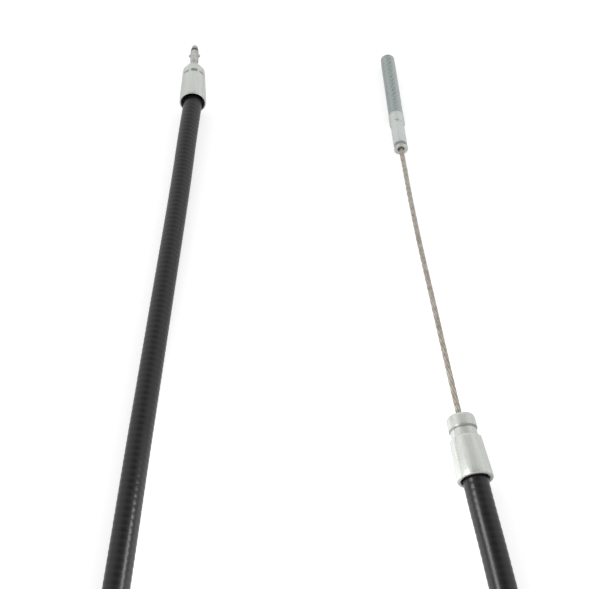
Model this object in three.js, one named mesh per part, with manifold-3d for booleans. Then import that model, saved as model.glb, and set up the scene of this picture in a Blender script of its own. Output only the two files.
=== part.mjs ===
// Clutch cable laid on its side as a long open loop: a sheathed casing with an aluminium ferrule at
// each end, and the stranded core that slides through it. Millimetres, +Z up, +Y towards both ends.
import * as THREE from "three";
import { mergeVertices } from "three/addons/utils/BufferGeometryUtils.js";
import Module from "manifold-3d";

const wasm = await Module();
wasm.setup();

// Core and casing, from the inside out
const coreD = 2.5;
const linerBore = 4.2;
const linerD = 5.4;
const windingBore = 6.0;
const windingD = 7.8;
const jacketBore = 8.4;
const jacketD = 10;

// Clearances
const seatGap = 0.3; // between pieces that touch on the real cable
const slideGap = 0.9; // round the core where it runs through an opening
const stroke = 30; // travel of the core from one end of its range to the other
const spareCore = 6; // core that stays inside the ferrule behind the exposed stretch

// Pedal-end ferrule: a tapered sleeve with a conical nose and a ring of staking dents
const pedal = {
  mouth: [-62.61, 86.97],
  yaw: -3,
  length: 32.3,
  mouthR: 7.1,
  straight: 2.5,
  waistR: 6.8,
  waistAt: 11,
  shoulderR: 6.15,
  coneLength: 6.3,
  noseR: 2.9,
  recessR: 6.15,
  recessDepth: 6,
  seatDepth: 22,
  lip: 0.4,
};
const stake = { count: 8, lean: 8, width: 3.6, length: 2, floorR: 5.9, at: 19.8, ramp: 0.6 };

// Gearbox-end ferrule: a tapered sleeve, a groove for the bracket, and a round head
const gearbox = {
  mouth: [63.05, -136.35],
  yaw: -6,
  length: 27.9,
  mouthR: 7.15,
  straight: 2.5,
  shoulderR: 6.4,
  headLength: 6.3,
  headR: 5.8,
  headRound: 1.5,
  grooveLength: 4.2,
  grooveR: 5.3,
  recessR: 5.6,
  recessDepth: 3,
  seatDepth: 16.4,
  lip: 0.4,
};

// Adjuster rod: a crimp socket at one end and an M8 thread at the other
const rod = {
  mouth: [48.34, 53.08],
  yaw: -1.85,
  length: 76.4,
  threadD: 7.9,
  threadLength: 50.6,
  threadChamfer: 0.8,
  shankD: 8.2,
  collarD: 7.2,
  collarLength: 0.9,
  neckD: 3.9,
  neckLength: 2.4,
  socketDepth: 19,
  mouthFlare: 0.5,
};
const crimp = { flats: 6, lean: 15, acrossFlats: 6.9, start: 3.2, length: 15.7, ramp: 0.8 };

// Swaged end fitting that stands out of the pedal-end ferrule
const fitting = {
  length: 17.8,
  inside: 6,
  neckD: 4.2,
  neckOut: 0.4,
  sleeveD: 4.7,
  sleeveAt: 4,
  flareD: 5,
  flareAt: 10.4,
  taperEndD: 4.2,
  grooveAt: 14.6,
  grooveLength: 1.4,
  grooveD: 3.5,
  tipD: 3.6,
  domeLength: 1,
  tipEndD: 2,
  socketDepth: 11,
};
const ear = { span: 6.6, width: 1.4, thickness: 1.2, at: 8.6 };

// Route of the casing between the two ferrule mouths
const casingRoute = [
  [-62.91, 77.2, 6.95], [-63.56, 57.2, 6.2], [-64.06, 35.2, 5.4], [-64.76, 9.2, 5], [-65.56, -17.8, 5],
  [-66.31, -41.8, 5], [-67.56, -84.8, 5], [-68.66, -122.8, 5], [-69.46, -155.8, 5], [-70.16, -182.8, 5],
  [-71.06, -220.8, 5], [-71.66, -256.8, 5], [-71.26, -288.8, 5], [-65.76, -316.8, 5], [-49.66, -340.3, 5],
  [-25.66, -356.3, 5], [2.54, -361.8, 5], [30.84, -356.2, 5], [54.84, -340, 5], [70.84, -316.3, 5],
  [76.44, -288.8, 5], [76.09, -260.8, 5], [73.99, -230.8, 5], [71.04, -201.8, 5.1], [68.09, -177.8, 5.5],
  [66.29, -162.8, 6.2], [64.15, -146.3, 6.95],
];

// Route of the exposed core between the gearbox-end ferrule and the adjuster rod
const leadRoute = [
  [58.15, -86.6, 7.05], [55.15, -50.1, 6.4], [52.06, -11.3, 5.4], [50, 21.2, 4.65], [49.1, 39.2, 4.4],
];
const leadYaw = -5.6;

const casingSides = 12;
const coreSides = 8;
const turnedSides = 32;
const casingSteps = 40;
const leadSteps = 24;

const materials = {
  jacket: finish(0x1c1d1f, 0.45, 0),
  winding: finish(0x8b8e90, 0.4, 0.9),
  liner: finish(0xe8e6df, 0.5, 0),
  core: finish(0xa89c8d, 0.4, 0.8),
  ferrule: finish(0xd3d5d2, 0.35, 0.9),
  zinc: finish(0xaeb6b6, 0.35, 0.9),
  fitting: finish(0xb9b8b4, 0.35, 0.9),
};

function finish(color, roughness, metalness) {
  return new THREE.MeshStandardMaterial({ color, roughness, metalness });
}

function heading(yaw) {
  const a = THREE.MathUtils.degToRad(yaw);
  return new THREE.Vector3(Math.sin(a), Math.cos(a), 0);
}

// Point on the axis of an end piece, counted from its mouth, at the height where it lies on its side.
function axisPoint(piece, height, distance) {
  const [x, y] = piece.mouth;
  return new THREE.Vector3(x, y, height).addScaledVector(heading(piece.yaw), distance);
}

const pedalHeight = pedal.mouthR;
const gearboxHeight = gearbox.mouthR;
const rodHeight = rod.shankD / 2;

function vectors(list) {
  return list.map(([x, y, z]) => new THREE.Vector3(x, y, z));
}

function smoothCurve(points) {
  return new THREE.CatmullRomCurve3(points, false, "centripetal");
}

// Part of a curve, between two distances along it.
function stretch(curve, from, to, steps) {
  const total = curve.getLength();
  const points = [];
  for (let i = 0; i <= steps; i += 1) {
    points.push(curve.getPointAt((from + ((to - from) * i) / steps) / total));
  }
  return smoothCurve(points);
}

function ring(diameter, sides, Kind) {
  const points = [];
  for (let i = 0; i < sides; i += 1) {
    const a = (2 * Math.PI * (i + 0.5)) / sides;
    points.push(new THREE.Vector2((diameter / 2) * Math.cos(a), (diameter / 2) * Math.sin(a)));
  }
  return new Kind(points);
}

function tubeAlong(curve, outerD, boreD, sides, steps) {
  const section = ring(outerD, sides, THREE.Shape);
  if (boreD > 0) section.holes.push(ring(boreD, sides, THREE.Path));
  return new THREE.ExtrudeGeometry(section, { steps, extrudePath: curve, curveSegments: 1 });
}

// Body of revolution about its own Y axis from a list of radius and height pairs.
function turned(profile, sides = turnedSides) {
  const points = profile.map(([r, y]) => new THREE.Vector2(r, y));
  return new THREE.LatheGeometry(points, sides);
}

function toSolid(geometry) {
  const bare = geometry.clone();
  bare.deleteAttribute("normal");
  bare.deleteAttribute("uv");
  const merged = mergeVertices(bare, 1e-4);
  const vertProperties = new Float32Array(merged.attributes.position.array);
  const triVerts = new Uint32Array(merged.index.array);
  return new wasm.Manifold(new wasm.Mesh({ numProp: 3, vertProperties, triVerts }));
}

function toGeometry(solid) {
  const mesh = solid.getMesh();
  const geometry = new THREE.BufferGeometry();
  geometry.setAttribute("position", new THREE.BufferAttribute(mesh.vertProperties, mesh.numProp));
  geometry.setIndex(new THREE.BufferAttribute(mesh.triVerts, 1));
  geometry.computeVertexNormals();
  return geometry;
}

function named(name, geometry, material) {
  const mesh = new THREE.Mesh(geometry, material);
  mesh.name = name;
  return mesh;
}

// Puts a piece that was turned about Y on its axis in the cable.
function placeOnAxis(mesh, piece, height, distance) {
  mesh.position.copy(axisPoint(piece, height, distance));
  mesh.rotation.z = -THREE.MathUtils.degToRad(piece.yaw);
  return mesh;
}

// Block with ramped ends that cuts one flat, its floor at the given distance from the axis.
function flatCutter(floorR, start, length, ramp, width, reach) {
  const side = new THREE.Shape();
  const rise = reach - floorR;
  side.moveTo(start, floorR);
  side.lineTo(start + length, floorR);
  side.lineTo(start + length + ramp * rise, reach);
  side.lineTo(start - ramp * rise, reach);
  side.closePath();
  const block = new THREE.ExtrudeGeometry(side, { depth: width, bevelEnabled: false });
  block.translate(0, 0, -width / 2);
  block.rotateY(Math.PI / 2);
  block.rotateX(Math.PI / 2);
  block.rotateY(Math.PI / 2);
  return block;
}

// Cuts equal flats round a turned body; the first faces up, leaning towards +X by the given angle.
function cutFlats(body, count, lean, cutter) {
  let solid = toSolid(body);
  for (let i = 0; i < count; i += 1) {
    const angle = THREE.MathUtils.degToRad(lean) + (2 * Math.PI * i) / count;
    solid = solid.subtract(toSolid(cutter.clone().rotateY(angle)));
  }
  return solid;
}

function pedalFerrule() {
  const p = pedal;
  const coneAt = p.length - p.coneLength;
  const noseBoreR = fitting.neckD / 2 + seatGap;
  const seatR = jacketD / 2 + seatGap;
  const body = turned([
    [seatR, p.recessDepth],
    [p.recessR, p.recessDepth - 0.6],
    [p.recessR, p.lip],
    [p.recessR + p.lip, 0],
    [p.mouthR - p.lip, 0],
    [p.mouthR, p.lip],
    [p.mouthR, p.straight],
    [p.waistR, p.waistAt],
    [p.shoulderR, coneAt],
    [p.noseR, p.length],
    [noseBoreR, p.length],
    [noseBoreR, p.seatDepth],
    [seatR, p.seatDepth],
    [seatR, p.recessDepth],
  ]);
  const cutter = flatCutter(stake.floorR, stake.at, stake.length, stake.ramp, stake.width, p.mouthR);
  const staked = toGeometry(cutFlats(body, stake.count, stake.lean, cutter));
  return placeOnAxis(named("pedal_ferrule", staked, materials.ferrule), p, pedalHeight, 0);
}

function gearboxFerrule() {
  const g = gearbox;
  const headAt = g.length - g.headLength;
  const grooveAt = headAt - g.grooveLength;
  const coreR = coreD / 2 + slideGap;
  const seatR = jacketD / 2 + seatGap;
  const body = turned([
    [seatR, g.recessDepth],
    [g.recessR, g.recessDepth - 0.3],
    [g.recessR, g.lip],
    [g.recessR + g.lip, 0],
    [g.mouthR - g.lip, 0],
    [g.mouthR, g.lip],
    [g.mouthR, g.straight],
    [g.shoulderR, grooveAt],
    [g.grooveR, grooveAt],
    [g.grooveR, headAt],
    [g.headR - g.lip, headAt],
    [g.headR, headAt + g.lip],
    [g.headR, g.length - g.headRound],
    [g.headR - g.headRound / 4, g.length - g.headRound / 3],
    [g.headR - g.headRound, g.length],
    [coreR + g.lip, g.length],
    [coreR, g.length - g.lip],
    [coreR, g.seatDepth],
    [seatR, g.seatDepth],
    [seatR, g.recessDepth],
  ]);
  return placeOnAxis(named("gearbox_ferrule", body, materials.ferrule), g, gearboxHeight, 0);
}

function adjusterRod() {
  const r = rod;
  const boreR = coreD / 2 + seatGap;
  const threadAt = r.length - r.threadLength;
  const shankAt = r.collarLength + r.neckLength;
  const body = turned([
    [0, r.socketDepth + boreR],
    [boreR, r.socketDepth],
    [boreR, r.mouthFlare],
    [boreR + r.mouthFlare, 0],
    [r.collarD / 2 - 0.3, 0],
    [r.collarD / 2, 0.3],
    [r.collarD / 2, r.collarLength],
    [r.neckD / 2, r.collarLength],
    [r.neckD / 2, shankAt],
    [r.shankD / 2 - 0.6, shankAt],
    [r.shankD / 2, shankAt + 0.6],
    [r.shankD / 2, threadAt - 0.2],
    [r.threadD / 2, threadAt],
    [r.threadD / 2, r.length - r.threadChamfer],
    [r.threadD / 2 - r.threadChamfer, r.length],
    [0, r.length],
  ]);
  const floorR = crimp.acrossFlats / 2;
  const cutter = flatCutter(floorR, crimp.start, crimp.length, crimp.ramp, r.shankD, r.shankD);
  const crimped = toGeometry(cutFlats(body, crimp.flats, crimp.lean, cutter));
  return placeOnAxis(named("adjuster_rod", crimped, materials.zinc), r, rodHeight, 0);
}

function endFitting() {
  const f = fitting;
  const boreR = coreD / 2 + seatGap;
  const boreEnd = f.socketDepth - f.inside;
  const body = turned([
    [0, boreEnd + boreR],
    [boreR, boreEnd],
    [boreR, -f.inside],
    [f.neckD / 2, -f.inside],
    [f.neckD / 2, f.neckOut],
    [f.sleeveD / 2, f.sleeveAt],
    [f.sleeveD / 2, ear.at],
    [f.flareD / 2, f.flareAt],
    [f.taperEndD / 2, f.grooveAt],
    [f.grooveD / 2, f.grooveAt],
    [f.grooveD / 2, f.grooveAt + f.grooveLength],
    [f.tipD / 2, f.grooveAt + f.grooveLength],
    [f.tipD / 2, f.length - f.domeLength],
    [(f.tipD * 2 + f.tipEndD) / 6, f.length - f.domeLength / 3],
    [f.tipEndD / 2, f.length],
    [0, f.length],
  ], 24);
  const outline = new THREE.Shape();
  outline.moveTo(boreR + 0.2, ear.at - 0.6);
  outline.lineTo(ear.span / 2, ear.at + 0.3);
  outline.lineTo(ear.span / 2, ear.at + ear.width);
  outline.lineTo(boreR + 0.2, ear.at + ear.width + 0.9);
  outline.closePath();
  const wing = new THREE.ExtrudeGeometry(outline, { depth: ear.thickness, bevelEnabled: false });
  wing.translate(0, 0, -ear.thickness / 2);
  let solid = toSolid(body);
  for (const turn of [0, Math.PI]) {
    solid = solid.add(toSolid(wing.clone().rotateY(turn)));
  }
  const swaged = named("end_fitting", toGeometry(solid), materials.fitting);
  return placeOnAxis(swaged, pedal, pedalHeight, pedal.length);
}

// Centreline of the casing from the seat in one ferrule to the seat in the other.
function casingCurve() {
  const seat = (piece) => piece.seatDepth - seatGap;
  return smoothCurve([
    axisPoint(pedal, pedalHeight, seat(pedal)),
    axisPoint(pedal, pedalHeight, seat(pedal) / 2),
    axisPoint(pedal, pedalHeight, 0),
    ...vectors(casingRoute),
    axisPoint(gearbox, gearboxHeight, 0),
    axisPoint(gearbox, gearboxHeight, seat(gearbox) / 2),
    axisPoint(gearbox, gearboxHeight, seat(gearbox)),
  ]);
}

function casing() {
  const curve = casingCurve();
  const layer = (name, outerD, boreD, material) =>
    named(name, tubeAlong(curve, outerD, boreD, casingSides, casingSteps), material);
  return [
    layer("casing_jacket", jacketD, jacketBore, materials.jacket),
    layer("casing_winding", windingD, windingBore, materials.winding),
    layer("casing_liner", linerD, linerBore, materials.liner),
  ];
}

const tailInside = stroke + spareCore; // core behind the nose of the pedal-end ferrule

// Core that stays in the casing: it leaves room for the two ends, which slide as straight pieces.
function coreInCasing() {
  const curve = casingCurve();
  const from = tailInside - (pedal.length - pedal.seatDepth) + seatGap;
  const reach = gearbox.length - gearbox.seatDepth;
  const to = curve.getLength() - (stroke + spareCore - reach) - 2 * seatGap;
  const middle = stretch(curve, from, to, casingSteps);
  const geometry = tubeAlong(middle, coreD, 0, coreSides, casingSteps);
  return named("core_in_casing", geometry, materials.core);
}

function coreTail() {
  const inner = axisPoint(pedal, pedalHeight, pedal.length - tailInside);
  const outer = axisPoint(pedal, pedalHeight, pedal.length - fitting.inside + fitting.socketDepth - seatGap);
  const geometry = tubeAlong(new THREE.LineCurve3(inner, outer), coreD, 0, coreSides, 4);
  return named("core_tail", geometry, materials.core);
}

function coreLead() {
  const exit = axisPoint(gearbox, gearboxHeight, gearbox.length);
  const inner = exit.clone().addScaledVector(heading(leadYaw), -spareCore);
  const curve = smoothCurve([
    inner,
    exit,
    ...vectors(leadRoute),
    axisPoint(rod, rodHeight, 0),
    axisPoint(rod, rodHeight, rod.socketDepth / 2),
    axisPoint(rod, rodHeight, rod.socketDepth - seatGap),
  ]);
  return named("core_lead", tubeAlong(curve, coreD, 0, coreSides, leadSteps), materials.core);
}

const cable = new THREE.Group();
cable.name = "clutch_cable";
cable.add(...casing(), coreInCasing(), pedalFerrule(), gearboxFerrule());

const rodBody = new THREE.Group();
rodBody.add(adjusterRod(), coreLead());

const tipBody = new THREE.Group();
tipBody.add(endFitting(), coreTail());

cable.add(rodBody, tipBody);

export default cable;
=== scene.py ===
import math

import bpy
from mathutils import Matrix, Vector


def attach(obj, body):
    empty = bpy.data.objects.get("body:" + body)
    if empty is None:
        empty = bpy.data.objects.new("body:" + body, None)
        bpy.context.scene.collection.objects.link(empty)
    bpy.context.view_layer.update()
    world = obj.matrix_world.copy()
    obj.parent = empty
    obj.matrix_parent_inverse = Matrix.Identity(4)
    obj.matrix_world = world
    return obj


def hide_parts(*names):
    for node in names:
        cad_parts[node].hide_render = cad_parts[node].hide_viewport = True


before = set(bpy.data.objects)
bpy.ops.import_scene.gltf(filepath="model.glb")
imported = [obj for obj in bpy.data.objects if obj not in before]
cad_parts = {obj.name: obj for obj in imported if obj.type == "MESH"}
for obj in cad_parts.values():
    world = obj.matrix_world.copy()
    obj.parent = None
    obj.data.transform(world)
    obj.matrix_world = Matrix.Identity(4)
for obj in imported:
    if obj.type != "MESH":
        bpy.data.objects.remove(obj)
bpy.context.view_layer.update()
print("frame loaded")

# Sizes below are in millimetres, lights and camera in metres
mm = 0.001
fullTurn = 2 * math.pi


def heading(yaw):
    a = math.radians(yaw)
    return Vector((math.sin(a), math.cos(a), 0))


def onAxis(shape, distance):
    x, y = shape["mouth"]
    return Vector((x, y, shape["height"])) + heading(shape["yaw"]) * distance


def centripetal(points):
    # Same spline as the solids follow, sampled finely
    perSpan = 24
    pts = [Vector(p) for p in points]
    first = pts[0] * 2 - pts[1]
    last = pts[-1] * 2 - pts[-2]
    full = [first] + pts + [last]
    out = []
    for i in range(1, len(full) - 2):
        p0, p1, p2, p3 = full[i - 1:i + 3]
        d0 = max((p1 - p0).length ** 0.5, 1e-4)
        d1 = max((p2 - p1).length ** 0.5, 1e-4)
        d2 = max((p3 - p2).length ** 0.5, 1e-4)
        t1 = ((p1 - p0) / d0 - (p2 - p0) / (d0 + d1) + (p2 - p1) / d1) * d1
        t2 = ((p2 - p1) / d1 - (p3 - p1) / (d1 + d2) + (p3 - p2) / d2) * d1
        for k in range(perSpan):
            t = k / perSpan
            a = 2 * t ** 3 - 3 * t ** 2 + 1
            b = t ** 3 - 2 * t ** 2 + t
            c = -2 * t ** 3 + 3 * t ** 2
            d = t ** 3 - t ** 2
            out.append(p1 * a + t1 * b + p2 * c + t2 * d)
    out.append(pts[-1])
    return out


def evenSteps(line, step):
    lengths = [0]
    for a, b in zip(line, line[1:]):
        lengths.append(lengths[-1] + (b - a).length)
    count = max(2, round(lengths[-1] / step))
    out = []
    j = 0
    for i in range(count + 1):
        s = lengths[-1] * i / count
        while j < len(line) - 2 and lengths[j + 1] < s:
            j += 1
        span = lengths[j + 1] - lengths[j]
        out.append(line[j].lerp(line[j + 1], (s - lengths[j]) / span))
    return out, lengths[-1]


def movingFrames(line):
    # Side and up vectors that don't twist along the line
    frames = []
    side = None
    for i in range(len(line)):
        ahead = line[min(i + 1, len(line) - 1)]
        behind = line[max(i - 1, 0)]
        run = (ahead - behind).normalized()
        if side is None:
            side = run.cross(Vector((0, 0, 1))).normalized()
        side = (side - run * side.dot(run)).normalized()
        frames.append((side, side.cross(run)))
    return frames


def meshPiece(name, verts, faces, sharpAngle=35):
    mesh = bpy.data.meshes.new(name)
    mesh.from_pydata([Vector(v) * mm for v in verts], [], faces)
    mesh.validate()
    mesh.polygons.foreach_set("use_smooth", [True] * len(mesh.polygons))
    mesh.set_sharp_from_angle(angle=math.radians(sharpAngle))
    piece = bpy.data.objects.new(name, mesh)
    bpy.context.scene.collection.objects.link(piece)
    return piece


def ringFaces(a, b, sides):
    return [(a + j, b + j, b + (j + 1) % sides, a + (j + 1) % sides) for j in range(sides)]


def softCorners(profile, size, closed):
    # Each corner becomes a short three-point round, so that edges catch the light
    mostOfSide = 0.4  # so that the rounds at both ends of a short side stay apart
    out = []
    n = len(profile)
    for i, (r, y) in enumerate(profile):
        if not closed and i in (0, n - 1):
            out.append((r, y))
            continue
        p = Vector((r, y))
        a = Vector(profile[i - 1]) - p
        b = Vector(profile[(i + 1) % n]) - p
        cut = min(size, a.length * mostOfSide, b.length * mostOfSide)
        start = p + a.normalized() * cut
        end = p + b.normalized() * cut
        out += [tuple(start), tuple(p.lerp((start + end) / 2, 0.5)), tuple(end)]
    return out


def splitLong(profile, longest, closed):
    out = []
    n = len(profile)
    for i in range(n if closed else n - 1):
        a = Vector(profile[i])
        b = Vector(profile[(i + 1) % n])
        count = max(1, math.ceil((b - a).length / longest))
        out += [tuple(a.lerp(b, k / count)) for k in range(count)]
    if not closed:
        out.append(tuple(profile[-1]))
    return out


def turnedPiece(name, profile, sides, shaper=None, closed=True, sharpAngle=35):
    verts = []
    faces = []
    rings = []
    for r, y in profile:
        if r < 1e-6:
            rings.append((len(verts), True))
            verts.append((0, y, 0))
            continue
        rings.append((len(verts), False))
        for j in range(sides):
            a = fullTurn * j / sides
            rr, yy = shaper(r, y, a) if shaper else (r, y)
            verts.append((rr * math.cos(a), yy, rr * math.sin(a)))
    pairs = list(zip(rings, rings[1:]))
    if closed:
        pairs.append((rings[-1], rings[0]))
    for (a, aTip), (b, bTip) in pairs:
        if aTip and bTip:
            continue
        if aTip:
            faces += [(a, b + j, b + (j + 1) % sides)[::-1] for j in range(sides)]
        elif bTip:
            faces += [(a + j, b, a + (j + 1) % sides) for j in range(sides)]
        else:
            faces += ringFaces(a, b, sides)
    return meshPiece(name, verts, faces, sharpAngle)


def placePiece(piece, shape, distance=0):
    piece.location = onAxis(shape, distance) * mm
    piece.rotation_euler = (0, 0, -math.radians(shape["yaw"]))


def smooth(t):
    t = min(1, max(0, t))
    return t * t * (3 - 2 * t)


def fadeOut(t, start, width):
    return 1 - smooth((t - start) / width)


def nodeMaterial(name):
    material = bpy.data.materials.new(name)
    material.use_nodes = True
    tree = material.node_tree
    return material, tree, tree.nodes["Principled BSDF"]


def addNode(tree, kind, settings=None, **inputs):
    node = tree.nodes.new(kind)
    for key, value in (settings or {}).items():
        setattr(node, key, value)
    for key, value in inputs.items():
        node.inputs[key].default_value = value
    return node


def objectPlace(tree, scale):
    where = addNode(tree, "ShaderNodeTexCoord")
    stretch = addNode(tree, "ShaderNodeMapping")
    stretch.inputs["Scale"].default_value = scale
    tree.links.new(where.outputs["Object"], stretch.inputs["Vector"])
    return stretch.outputs["Vector"]


def colorRamp(tree, source, stops):
    ramp = addNode(tree, "ShaderNodeValToRGB")
    elements = ramp.color_ramp.elements
    for at, _ in stops[1:-1]:
        elements.new(at)
    for element, (at, color) in zip(elements, stops):
        element.position = at
        element.color = (*color, 1)
    tree.links.new(source, ramp.inputs["Fac"])
    return ramp.outputs["Color"]


def valueRange(tree, source, low, high, fromLow, fromHigh):
    spread = addNode(tree, "ShaderNodeMapRange")
    spread.inputs["From Min"].default_value = fromLow
    spread.inputs["From Max"].default_value = fromHigh
    spread.inputs["To Min"].default_value = low
    spread.inputs["To Max"].default_value = high
    tree.links.new(source, spread.inputs["Value"])
    return spread.outputs["Result"]


def bandTint(tree, tint, start, end, color, depth=None):
    # Darkens a stretch along the piece, or only its hollows below a radius
    fade = 0.1
    depthFade = 0.25
    where = addNode(tree, "ShaderNodeTexCoord")
    split = addNode(tree, "ShaderNodeSeparateXYZ")
    tree.links.new(where.outputs["Object"], split.inputs["Vector"])
    rise = valueRange(tree, split.outputs["Y"], 0, 1, (start - fade) * mm, (start + fade) * mm)
    fall = valueRange(tree, split.outputs["Y"], 1, 0, (end - fade) * mm, (end + fade) * mm)
    inside = addNode(tree, "ShaderNodeMath", {"operation": "MULTIPLY"})
    tree.links.new(rise, inside.inputs[0])
    tree.links.new(fall, inside.inputs[1])
    if depth:
        flat = addNode(tree, "ShaderNodeCombineXYZ")
        tree.links.new(split.outputs["X"], flat.inputs["X"])
        tree.links.new(split.outputs["Z"], flat.inputs["Z"])
        radius = addNode(tree, "ShaderNodeVectorMath", {"operation": "LENGTH"})
        tree.links.new(flat.outputs["Vector"], radius.inputs["Vector"])
        low = valueRange(tree, radius.outputs["Value"], 1, 0, (depth - depthFade) * mm, depth * mm)
        hollow = addNode(tree, "ShaderNodeMath", {"operation": "MULTIPLY"})
        tree.links.new(inside.outputs["Value"], hollow.inputs[0])
        tree.links.new(low, hollow.inputs[1])
        inside = hollow
    band = addNode(tree, "ShaderNodeMixRGB", {"blend_type": "MULTIPLY"}, Color2=(*color, 1))
    tree.links.new(inside.outputs["Value"], band.inputs["Fac"])
    tree.links.new(tint, band.inputs["Color1"])
    return band.outputs["Color"]


def bumpFrom(tree, source, shader, strength, distance):
    bump = addNode(tree, "ShaderNodeBump", Strength=strength, Distance=distance)
    tree.links.new(source, bump.inputs["Height"])
    tree.links.new(bump.outputs["Normal"], shader.inputs["Normal"])


# Part of the noise that carries nearly all of its values
cloudRange = (0.3, 0.7)


def cloudyFinish(name, finish):
    # Noise of scale "cloud" steers the tint, the roughness and a faint relief
    material, tree, shader = nodeMaterial(name)
    shader.inputs["Metallic"].default_value = finish["metallic"]
    cloud = addNode(
        tree, "ShaderNodeTexNoise",
        Scale=finish["cloud"], Detail=finish["detail"], Roughness=finish["crispness"],
    )
    tree.links.new(objectPlace(tree, finish["stretch"]), cloud.inputs["Vector"])
    tint = colorRamp(tree, cloud.outputs["Fac"], finish["colors"])
    for band in finish.get("bands", []):
        tint = bandTint(tree, tint, *band)
    tree.links.new(tint, shader.inputs["Base Color"])
    low, high = finish["roughness"]
    if low == high:
        shader.inputs["Roughness"].default_value = low
    else:
        rough = valueRange(tree, cloud.outputs["Fac"], low, high, *cloudRange)
        tree.links.new(rough, shader.inputs["Roughness"])
    if finish["relief"]:
        bumpFrom(tree, cloud.outputs["Fac"], shader, finish["relief"], 0.1 * mm)
    return material


# Camera over the near side of the loop, looking along +Y and down
cameraSetup = {
    "place": (-0.00441, -0.28678, 0.314),
    "tilt": 51.8,
    "lens": 52.2,
    "sensor": 36,
}


def makeCamera():
    data = bpy.data.cameras.new("camera")
    data.lens = cameraSetup["lens"]
    data.sensor_width = cameraSetup["sensor"]
    camera = bpy.data.objects.new("camera", data)
    camera.location = cameraSetup["place"]
    camera.rotation_euler = (math.radians(90 - cameraSetup["tilt"]), 0, 0)
    bpy.context.scene.collection.objects.link(camera)
    bpy.context.scene.camera = camera


makeCamera()
print("camera placed")


jacketShape = {
    "diameter": 10.0,
    "bore": 8.4,
    "ribPitch": 2.8,
    "ribDepth": 0.075,
    "ribSharpness": 2,
    "sides": 30,
    "step": 0.46,
    "boreEvery": 8,  # the bore needs fewer rings than the ribbed outside
    "seatGap": 0.3,
    "route": [  # middle of the casing, from the pedal ferrule to the gearbox ferrule
        (-62.91, 77.2, 6.95), (-63.56, 57.2, 6.2), (-64.06, 35.2, 5.4), (-64.76, 9.2, 5),
        (-65.56, -17.8, 5), (-66.31, -41.8, 5), (-67.56, -84.8, 5), (-68.66, -122.8, 5),
        (-69.46, -155.8, 5), (-70.16, -182.8, 5), (-71.06, -220.8, 5), (-71.66, -256.8, 5),
        (-71.26, -288.8, 5), (-65.76, -316.8, 5), (-49.66, -340.3, 5), (-25.66, -356.3, 5),
        (2.54, -361.8, 5), (30.84, -356.2, 5), (54.84, -340, 5), (70.84, -316.3, 5),
        (76.44, -288.8, 5), (76.09, -260.8, 5), (73.99, -230.8, 5), (71.04, -201.8, 5.1),
        (68.09, -177.8, 5.5), (66.29, -162.8, 6.2), (64.15, -146.3, 6.95),
    ],
}


def casingLine():
    seatA = pedalShape["seat"] - jacketShape["seatGap"]
    seatB = gearboxShape["seat"] - jacketShape["seatGap"]
    points = [onAxis(pedalShape, seatA), onAxis(pedalShape, seatA / 2), onAxis(pedalShape, 0)]
    points += [Vector(p) for p in jacketShape["route"]]
    points += [onAxis(gearboxShape, 0), onAxis(gearboxShape, seatB / 2), onAxis(gearboxShape, seatB)]
    return evenSteps(centripetal(points), jacketShape["step"])


leadShape = {
    "diameter": 2.5,
    "strands": 6,
    "strandGap": 0.01,
    "lay": 26,
    "wires": 6,
    "wireLay": 7,
    "wireRelief": 0.05,
    "sides": 18,
    "step": 0.7,
    "yaw": -5.6,
    "hidden": 6,
    "endGap": 0.3,
    "tailHidden": 36,
    "tailFree": 4.7,
    "route": [  # middle of the free stretch, from the gearbox ferrule to the rod
        (58.15, -86.6, 7.05), (55.15, -50.1, 6.4), (52.06, -11.3, 5.4),
        (50, 21.2, 4.65), (49.1, 39.2, 4.4),
    ],
}


def leadLine():
    mouth = onAxis(gearboxShape, gearboxShape["length"])
    points = [mouth - heading(leadShape["yaw"]) * leadShape["hidden"], mouth]
    points += [Vector(p) for p in leadShape["route"]]
    depth = rodShape["socket"]
    for distance in (0, depth / 2, depth - leadShape["endGap"]):
        points.append(onAxis(rodShape, distance))
    return evenSteps(centripetal(points), leadShape["step"])


# Black plastic, a little uneven in gloss and with a very fine grain
jacketFinish = {
    "cloud": 160,
    "colors": [(0.3, (0.006, 0.0065, 0.0065)), (0.7, (0.009, 0.009, 0.0095))],
    "roughness": (0.24, 0.33),
    "grain": 1800,
    "relief": 0.06,
}


def plasticJacketMaterial():
    material, tree, shader = nodeMaterial("jacketBlack")
    place = objectPlace(tree, (1, 1, 1))
    cloud = addNode(tree, "ShaderNodeTexNoise", Scale=jacketFinish["cloud"], Detail=4, Roughness=0.55)
    tree.links.new(place, cloud.inputs["Vector"])
    tint = colorRamp(tree, cloud.outputs["Fac"], jacketFinish["colors"])
    tree.links.new(tint, shader.inputs["Base Color"])
    rough = valueRange(tree, cloud.outputs["Fac"], *jacketFinish["roughness"], *cloudRange)
    tree.links.new(rough, shader.inputs["Roughness"])
    grain = addNode(tree, "ShaderNodeTexNoise", Scale=jacketFinish["grain"], Detail=3, Roughness=0.6)
    tree.links.new(place, grain.inputs["Vector"])
    bumpFrom(tree, grain.outputs["Fac"], shader, jacketFinish["relief"], 0.2 * mm)
    return material


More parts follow.
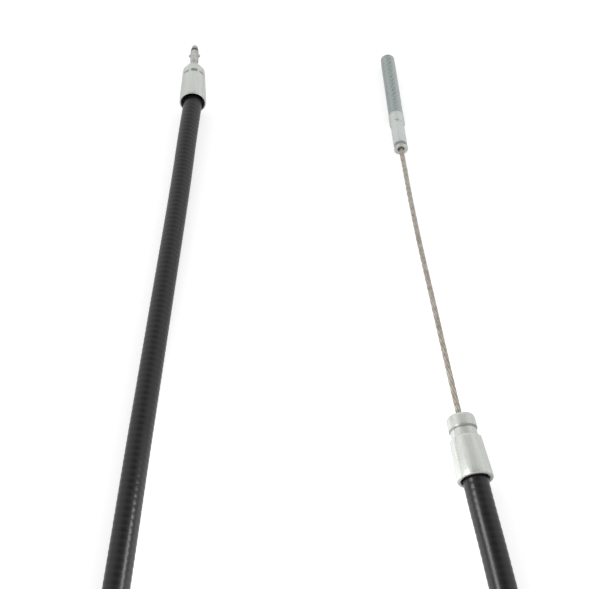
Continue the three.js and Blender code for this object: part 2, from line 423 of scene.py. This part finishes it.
def casingJacket():
    line, length = casingLine()
    frames = movingFrames(line)
    shape = jacketShape
    sides = shape["sides"]
    outer = shape["diameter"] / 2
    inner = shape["bore"] / 2
    verts = []
    faces = []
    run = length / (len(line) - 1)
    for i, (p, (side, up)) in enumerate(zip(line, frames)):
        for j in range(sides):
            a = fullTurn * j / sides
            phase = fullTurn * i * run / shape["ribPitch"] - a
            valley = (0.5 + 0.5 * math.cos(phase)) ** shape["ribSharpness"]
            r = outer - shape["ribDepth"] * valley
            verts.append(p + (side * math.cos(a) + up * math.sin(a)) * r)
        if i:
            faces += ringFaces((i - 1) * sides, i * sides, sides)
    stations = list(range(0, len(line) - 1, shape["boreEvery"])) + [len(line) - 1]
    start = len(verts)
    for i in stations:
        side, up = frames[i]
        for j in range(sides):
            a = fullTurn * j / sides
            verts.append(line[i] + (side * math.cos(a) + up * math.sin(a)) * inner)
    for k in range(len(stations) - 1):
        faces += [f[::-1] for f in ringFaces(start + k * sides, start + (k + 1) * sides, sides)]
    faces += [f[::-1] for f in ringFaces(0, start, sides)]
    lastOuter = (len(line) - 1) * sides
    lastInner = start + (len(stations) - 1) * sides
    faces += ringFaces(lastOuter, lastInner, sides)
    piece = meshPiece("casing_sheath", verts, faces, sharpAngle=60)
    piece.data.materials.append(plasticJacketMaterial())
    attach(piece, "casing")
    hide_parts("casing_jacket")


strandFinish = {
    "metallic": 0.7,
    "cloud": 420,
    "detail": 4,
    "crispness": 0.6,
    "stretch": (1, 1, 1),
    "colors": [(0.3, (0.43, 0.38, 0.33)), (0.5, (0.6, 0.55, 0.49)), (0.7, (0.72, 0.69, 0.63))],
    "roughness": (0.42, 0.42),
    "relief": 0.1,
}


def strandedCore(name, line, material):
    # Six strands wound round a straight one, three across; each shows the relief of its wires
    frames = movingFrames(line)
    shape = leadShape
    strandR = shape["diameter"] / 3 / 2
    layR = shape["diameter"] / 2 - strandR - shape["strandGap"]
    sides = shape["sides"]
    verts = []
    faces = []
    dist = [0]
    for a, b in zip(line, line[1:]):
        dist.append(dist[-1] + (b - a).length)
    for s in range(shape["strands"] + 1):
        centre = s == shape["strands"]
        start = len(verts)
        for i, (p, (side, up)) in enumerate(zip(line, frames)):
            turn = fullTurn * (dist[i] / shape["lay"] + s / shape["strands"])
            out = side * math.cos(turn) + up * math.sin(turn)
            across = up * math.cos(turn) - side * math.sin(turn)
            middle = p if centre else p + out * layR
            for j in range(sides):
                a = fullTurn * j / sides
                wave = math.cos(shape["wires"] * a + fullTurn * dist[i] / shape["wireLay"])
                r = strandR * (1 + shape["wireRelief"] * wave)
                verts.append(middle + (out * math.cos(a) + across * math.sin(a)) * r)
            if i:
                faces += ringFaces(start + (i - 1) * sides, start + i * sides, sides)
        faces.append(tuple(range(start, start + sides))[::-1])
        faces.append(tuple(range(start + (len(line) - 1) * sides, start + len(line) * sides)))
    piece = meshPiece(name, verts, faces, sharpAngle=50)
    piece.data.materials.append(material)
    return piece


def coreLead(material):
    line, length = leadLine()
    piece = strandedCore("core_strands", line, material)
    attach(piece, "rod")
    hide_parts("core_lead")


def coreTail(material):
    inner = onAxis(pedalShape, pedalShape["length"] - leadShape["tailHidden"])
    outer = onAxis(pedalShape, pedalShape["length"] + leadShape["tailFree"])
    line, _ = evenSteps([inner, outer], leadShape["step"])
    piece = strandedCore("tail_strands", line, material)
    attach(piece, "tip")
    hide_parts("core_tail")


# Drawn aluminium of both ferrules, streaked along their length
ferruleFinish = {
    "metallic": 0.7,
    "cloud": 520,
    "detail": 5,
    "crispness": 0.6,
    "stretch": (1, 0.12, 1),
    "colors": [(0.3, (0.62, 0.64, 0.6)), (0.5, (0.69, 0.71, 0.67)), (0.7, (0.75, 0.77, 0.74))],
    "roughness": (0.24, 0.36),
    "relief": 0.12,
}

# Profiles are pairs of radius and distance from the mouth
pedalShape = {
    "mouth": (-62.61, 86.97),
    "yaw": -3,
    "height": 7.1,
    "length": 32.3,
    "seat": 22,
    "profile": [
        (5.3, 6), (6.15, 5.4), (6.15, 0.4), (6.55, 0), (6.7, 0), (7.1, 0.4), (7.1, 2.5), (7.0, 6),
        (6.8, 11), (6.15, 26), (2.9, 32.3), (2.4, 32.3), (2.4, 22), (5.3, 22),
    ],
    "edgeRound": 0.14,
    "longestFace": 0.45,
    "sides": 96,
    "dents": 8,
    "dentLean": 8,
    "dentAt": 20.8,
    "dentLength": 2.0,
    "dentWidth": 3.6,
    "dentFloor": 5.75,
    # Painted shade in the staking dents: the colour is darkened below radius 6.28 between 19.5 and 22.1
    # mm
    "bands": [(19.5, 22.1, (0.6, 0.6, 0.6), 6.28)],
}


def pedalFerrule(material):
    shape = pedalShape

    def dent(r, y, a):
        # Flat-floored staking dents, cut into the outside only
        part = fullTurn / shape["dents"]
        off = (a - math.pi / 2 + math.radians(shape["dentLean"]) + part / 2) % part - part / 2
        floor = shape["dentFloor"] / math.cos(off)
        if r < floor:
            return r, y
        along = abs(y - shape["dentAt"]) / (shape["dentLength"] / 2)
        across = abs(r * math.sin(off)) / (shape["dentWidth"] / 2)
        hold = fadeOut(along, 0.7, 0.5) * fadeOut(across, 0.85, 0.3)
        return r - (r - floor) * hold, y

    profile = softCorners(shape["profile"], shape["edgeRound"], True)
    profile = splitLong(profile, shape["longestFace"], True)
    piece = turnedPiece("pedal_ferrule_body", profile, shape["sides"], dent)
    placePiece(piece, shape)
    piece.data.materials.append(material)
    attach(piece, "casing")
    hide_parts("pedal_ferrule")


gearboxShape = {
    "mouth": (63.05, -136.35),
    "yaw": -6,
    "height": 7.15,
    "length": 27.9,
    "seat": 16.4,
    "profile": [
        (5.3, 3), (5.6, 2.7), (5.6, 0.4), (6.0, 0), (6.75, 0), (7.15, 0.4), (7.15, 2.5), (6.4, 17.4),
        (5.3, 17.4), (5.3, 21.6), (5.4, 21.6), (5.8, 22.0), (5.8, 26.4), (5.68, 26.97), (5.36, 27.46),
        (4.87, 27.79), (4.3, 27.9), (2.55, 27.9), (2.15, 27.5), (2.15, 16.4), (5.3, 16.4),
    ],
    "edgeRound": 0.14,
    "longestFace": 1.2,
    "sides": 96,
    # Painted shade: a dark band just under the head, and a darker mouth rim that dims its highlight
    "bands": [(21.2, 22.1, (0.5, 0.5, 0.5)), (-0.5, 0.4, (0.75, 0.75, 0.75))],
}


def gearboxFerrule(material):
    shape = gearboxShape
    profile = softCorners(shape["profile"], shape["edgeRound"], True)
    profile = splitLong(profile, shape["longestFace"], True)
    piece = turnedPiece("gearbox_ferrule_body", profile, shape["sides"])
    placePiece(piece, shape)
    piece.data.materials.append(material)
    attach(piece, "casing")
    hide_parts("gearbox_ferrule")


rodShape = {
    "mouth": (48.34, 53.08),
    "yaw": -1.85,
    "height": 4.1,
    "length": 76.4,
    "socket": 19,
    "socketTip": 1.5,
    "profile": [
        (1.55, 19), (1.55, 0.5), (2.05, 0), (3.3, 0), (3.6, 0.3), (3.6, 0.9), (1.95, 0.9), (1.95, 3.3),
        (3.5, 3.3), (4.1, 3.9), (4.1, 25.6), (3.95, 25.8),
    ],
    "edgeRound": 0.12,
    "longestFace": 0.5,
    "sides": 60,
    "hexAcross": 6.9,
    "hexLean": 15,
    "hexStart": 3.2,
    "hexLength": 15.7,
    "hexRamp": 0.7,
    "threadStart": 25.8,
    "threadPitch": 1.25,
    "threadDepth": 0.62,
    "threadCrest": 0.12,  # flats at crest and root, as a part of half a pitch
    "threadRunOut": 1.5,  # turns
    "threadStep": 0.15,
    "threadR": 3.95,
    "endChamfer": 0.8,
}

# The thread's colour is darker and bluer than the shank's, and its valleys are darkened further as
# painted shade
zincFinish = {
    "metallic": 0.75,
    "cloud": 380,
    "detail": 5,
    "crispness": 0.6,
    "stretch": (1, 0.3, 1),
    "colors": [(0.3, (0.63, 0.66, 0.64)), (0.5, (0.67, 0.7, 0.68)), (0.7, (0.71, 0.74, 0.72))],
    "bands": [(25.8, 76.4, (0.88, 0.9, 0.9)), (25.8, 76.4, (0.55, 0.62, 0.63), 3.85)],
    "roughness": (0.22, 0.34),
    "relief": 0.03,
}


def adjusterRod(material):
    shape = rodShape
    pitch = shape["threadPitch"]
    crest = shape["threadCrest"]
    endAt = shape["length"]
    startAt = shape["threadStart"]
    neckMiddle = 2
    outerMin = 3.4

    def carve(r, y, a):
        # Hexagonal crimp with ramped ends, on the outside only
        if r > outerMin and neckMiddle < y < startAt:
            part = fullTurn / 6
            off = (a - math.pi / 2 + math.radians(shape["hexLean"]) + part / 2) % part - part / 2
            flat = shape["hexAcross"] / 2 / math.cos(off)
            before = (y - shape["hexStart"]) / shape["hexRamp"] + 1
            after = (shape["hexStart"] + shape["hexLength"] - y) / shape["hexRamp"] + 1
            hold = smooth(min(before, after))
            if flat < r:
                r -= (r - flat) * hold
        # Screw thread, run out at the shank and chamfered at the end
        if r > outerMin and y > startAt + 0.05:
            turns = (y - startAt) / pitch - a / fullTurn
            wave = abs((turns % 1) * 2 - 1)
            groove = min(1, max(0, (wave - crest) / (1 - 2 * crest)))
            fade = smooth((y - startAt) / (shape["threadRunOut"] * pitch))
            limit = shape["threadR"] - max(0, y - (endAt - shape["endChamfer"]))
            r = min(shape["threadR"] - shape["threadDepth"] * groove * fade, limit)
        return r, y

    body = softCorners(shape["profile"], shape["edgeRound"], False)
    body = splitLong(body, shape["longestFace"], False)
    thread = []
    steps = round((endAt - startAt) / shape["threadStep"])
    for i in range(1, steps + 1):
        thread.append((shape["threadR"], startAt + (endAt - startAt) * i / steps))
    profile = [(0, shape["socket"] + shape["socketTip"])] + body + thread + [(0, endAt)]
    piece = turnedPiece("adjuster_rod_body", profile, shape["sides"], carve, closed=False, sharpAngle=40)
    placePiece(piece, shape)
    piece.data.materials.append(material)
    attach(piece, "rod")
    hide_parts("adjuster_rod")


fittingShape = {
    "profile": [
        (1.55, 5), (1.55, -6), (2.1, -6), (2.1, 0.4), (2.35, 4), (2.35, 8.6), (2.5, 10.4), (2.1, 14.6),
        (1.75, 14.6), (1.75, 16.0), (1.8, 16.0), (1.8, 16.8), (1.53, 17.47), (1.0, 17.8), (0, 17.8),
    ],
    "socketTip": 6.5,
    "edgeRound": 0.08,
    "longestFace": 0.25,
    "sides": 72,
    "earSpan": 6.6,
    "earAt": 9.2,
    "earLength": 1.5,
    "earAngle": 14,
}

# Bare steel with a dark ring near the tip
fittingFinish = {
    "metallic": 0.7,
    "cloud": 700,
    "detail": 4,
    "crispness": 0.6,
    "stretch": (1, 0.4, 1),
    "colors": [(0.3, (0.34, 0.34, 0.33)), (0.5, (0.56, 0.56, 0.54)), (0.7, (0.76, 0.76, 0.74))],
    "bands": [(12.0, 14.4, (0.12, 0.14, 0.14))],
    "roughness": (0.3, 0.3),
    "relief": 0.15,
}


def endFitting(material):
    shape = fittingShape
    half = math.radians(shape["earAngle"])

    def ears(r, y, a):
        # Two pressed ears, left and right
        if r < 2:
            return r, y
        off = min(abs(a), abs(a - math.pi), abs(a - fullTurn))
        along = abs(y - shape["earAt"]) / (shape["earLength"] / 2)
        hold = fadeOut(along, 0.5, 0.8) * fadeOut(off / half, 0.5, 0.8)
        return r + (shape["earSpan"] / 2 - r) * hold, y

    profile = softCorners(shape["profile"], shape["edgeRound"], False)
    profile = [(0, shape["socketTip"])] + splitLong(profile, shape["longestFace"], False)
    piece = turnedPiece("end_fitting_body", profile, shape["sides"], ears, closed=False)
    placePiece(piece, pedalShape, pedalShape["length"])
    piece.data.materials.append(material)
    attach(piece, "tip")
    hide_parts("end_fitting")


# Name, metallic, roughness, darkest and lightest colour
hiddenFinish = {
    "casing_winding": ("windingSteel", 0.9, 0.35, (0.4, 0.41, 0.42), (0.55, 0.56, 0.57)),
    "casing_liner": ("linerPlastic", 0.0, 0.45, (0.72, 0.71, 0.66), (0.84, 0.83, 0.78)),
    "core_in_casing": ("coreSteel", 0.85, 0.4, (0.36, 0.32, 0.27), (0.5, 0.46, 0.4)),
}


def hiddenLayers():
    # Wound conduit, liner and the core inside them keep their solids
    for node, (name, metallic, roughness, dark, light) in hiddenFinish.items():
        finish = {
            "metallic": metallic,
            "cloud": 300,
            "detail": 3,
            "crispness": 0.5,
            "stretch": (1, 1, 1),
            "colors": [(0.35, dark), (0.65, light)],
            "roughness": (roughness, roughness),
            "relief": 0,
        }
        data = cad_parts[node].data
        data.materials.clear()
        data.materials.append(cloudyFinish(name, finish))


# The sky goes from level and below (0) to straight up (1); one small lamp hangs between the legs
lightSetup = {
    "sky": [(0.0, 0.92), (0.55, 0.9), (0.8, 0.64), (0.93, 0.27), (1.0, 0.14)],
    "lampPlace": (0, -0.16, 0.052),
    "lampSize": (0.046, 0.085),
    "lampPower": 0.075,
    "floorColor": (0.76, 0.76, 0.76),
    "floorGlow": 0.6,
    "floorMirror": 0.42,
    "floorReach": 4,
    "floorDrop": 0.0002,
}


def studio():
    scene = bpy.context.scene
    scene.view_settings.view_transform = "Standard"
    world = bpy.data.worlds.new("tent")
    scene.world = world
    world.use_nodes = True
    tree = world.node_tree
    sky = tree.nodes["Background"]
    sky.inputs["Color"].default_value = (1, 1, 1, 1)
    # Pale all round, dark only straight up, where the camera hangs
    where = addNode(tree, "ShaderNodeTexCoord")
    split = addNode(tree, "ShaderNodeSeparateXYZ")
    tree.links.new(where.outputs["Generated"], split.inputs["Vector"])
    stops = [(at, (glow, glow, glow)) for at, glow in lightSetup["sky"]]
    glow = colorRamp(tree, split.outputs["Z"], stops)
    ray = addNode(tree, "ShaderNodeLightPath")
    seen = addNode(tree, "ShaderNodeMix", {"data_type": "FLOAT"})
    tree.links.new(ray.outputs["Is Camera Ray"], seen.inputs["Factor"])
    tree.links.new(glow, seen.inputs["A"])
    seen.inputs["B"].default_value = 1.0
    tree.links.new(seen.outputs["Result"], sky.inputs["Strength"])

    # An area lamp shines straight down as long as it isn't turned
    data = bpy.data.lights.new("middle", "AREA")
    data.shape = "RECTANGLE"
    data.size, data.size_y = lightSetup["lampSize"]
    data.energy = lightSetup["lampPower"]
    lamp = bpy.data.objects.new("middle", data)
    lamp.location = lightSetup["lampPlace"]
    lamp.visible_camera = False
    scene.collection.objects.link(lamp)

    reach = lightSetup["floorReach"] / mm
    corners = [(-reach, -reach, 0), (reach, -reach, 0), (reach, reach, 0), (-reach, reach, 0)]
    floor = meshPiece("floor", corners, [(0, 1, 2, 3)])
    floor.location.z = -lightSetup["floorDrop"]
    material, tree, shader = nodeMaterial("paper")
    shader.inputs["Base Color"].default_value = (*lightSetup["floorColor"], 1)
    shader.inputs["Roughness"].default_value = 0.9
    shader.inputs["Emission Color"].default_value = (1, 1, 1, 1)
    # Its glow shows to the camera and, dimmer, in the metal, but doesn't light the cable
    ray = addNode(tree, "ShaderNodeLightPath")
    seen = addNode(tree, "ShaderNodeMath", {"operation": "MULTIPLY_ADD"})
    seen.inputs[1].default_value = lightSetup["floorMirror"]
    tree.links.new(ray.outputs["Is Glossy Ray"], seen.inputs[0])
    tree.links.new(ray.outputs["Is Camera Ray"], seen.inputs[2])
    glow = addNode(tree, "ShaderNodeMath", {"operation": "MULTIPLY"})
    glow.inputs[1].default_value = lightSetup["floorGlow"]
    tree.links.new(seen.outputs["Value"], glow.inputs[0])
    tree.links.new(glow.outputs["Value"], shader.inputs["Emission Strength"])
    floor.data.materials.append(material)


casingJacket()
print("casing sheath swept")
adjusterRod(cloudyFinish("zincPlate", zincFinish))
coreSteel = cloudyFinish("strandSteel", strandFinish)
coreLead(coreSteel)
coreTail(coreSteel)
print("core strands wound, rod threaded")
pedalFerrule(cloudyFinish("pedalAluminium", dict(ferruleFinish, bands=pedalShape["bands"])))
gearboxFerrule(cloudyFinish("gearboxAluminium", dict(ferruleFinish, bands=gearboxShape["bands"])))
endFitting(cloudyFinish("fittingSteel", fittingFinish))
hiddenLayers()
print("ferrules and end fitting turned")
studio()
print("studio lit")
